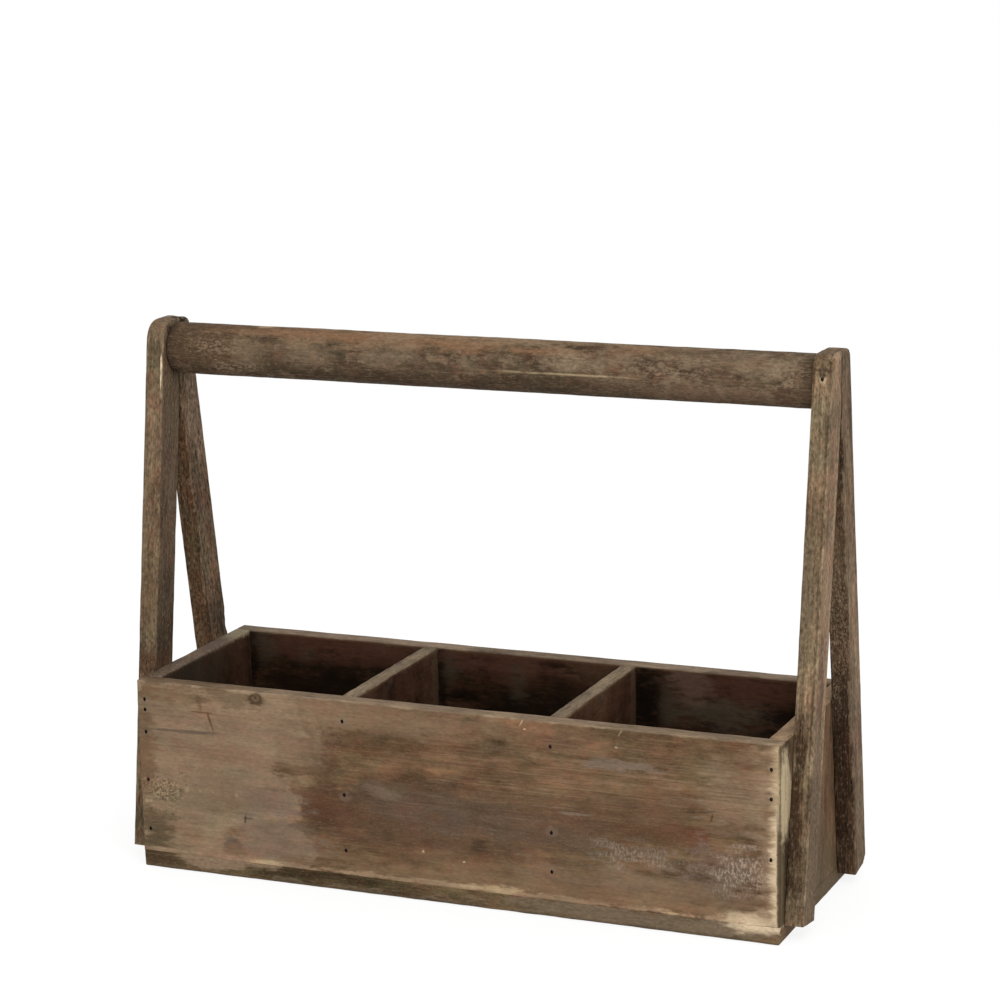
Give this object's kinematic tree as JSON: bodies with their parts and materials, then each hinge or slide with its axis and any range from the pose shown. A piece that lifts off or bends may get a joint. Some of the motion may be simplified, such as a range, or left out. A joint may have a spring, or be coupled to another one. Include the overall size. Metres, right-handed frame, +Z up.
{
  "type": "wooden tote box",
  "caption": "Long open wooden tote box with upright dividers, leaning A-frame legs at both ends and a round carrying handle between them.",
  "frame": {"origin": "middle of the underside of the bottom board, on the surface that the box stands on", "axes": "+X along the box and the handle, +Y from the front board to the back board, +Z up"},
  "size_m": [0.487, 0.159, 0.3705],
  "materials": {
    "front_wood": "weathered, grey-brown, waxed",
    "board_wood": "weathered, dark brown inside",
    "divider_wood": "weathered, dark brown",
    "leg_wood": "weathered, olive-brown, sawn",
    "handle_wood": "worn smooth, dark grey-brown",
    "nail_steel": "darkened, punched below the surface"
  },
  "bodies": {
    "root": {"bottom_board": "board_wood", "front_board": "front_wood", "back_board": "board_wood", "handle": "handle_wood", "left_end_board": "board_wood", "left_divider": "divider_wood", "left_front_leg": "leg_wood", "left_rear_leg": "leg_wood", "right_end_board": "board_wood", "right_divider": "divider_wood", "right_front_leg": "leg_wood", "right_rear_leg": "leg_wood", "front_left_end_board_nails": "nail_steel", "front_left_divider_nails": "nail_steel", "front_right_divider_nails": "nail_steel", "front_right_end_board_nails": "nail_steel", "bottom_front_nails": "nail_steel", "back_left_end_board_nails": "nail_steel", "back_left_divider_nails": "nail_steel", "back_right_divider_nails": "nail_steel", "back_right_end_board_nails": "nail_steel", "bottom_back_nails": "nail_steel", "bottom_left_end_nails": "nail_steel", "left_front_leg_nails": "nail_steel", "left_rear_leg_nails": "nail_steel", "left_handle_nails": "nail_steel", "left_apex_nail": "nail_steel", "bottom_right_end_nails": "nail_steel", "right_front_leg_nails": "nail_steel", "right_rear_leg_nails": "nail_steel", "right_handle_nails": "nail_steel", "right_apex_nail": "nail_steel"}
  },
  "joints": []
}
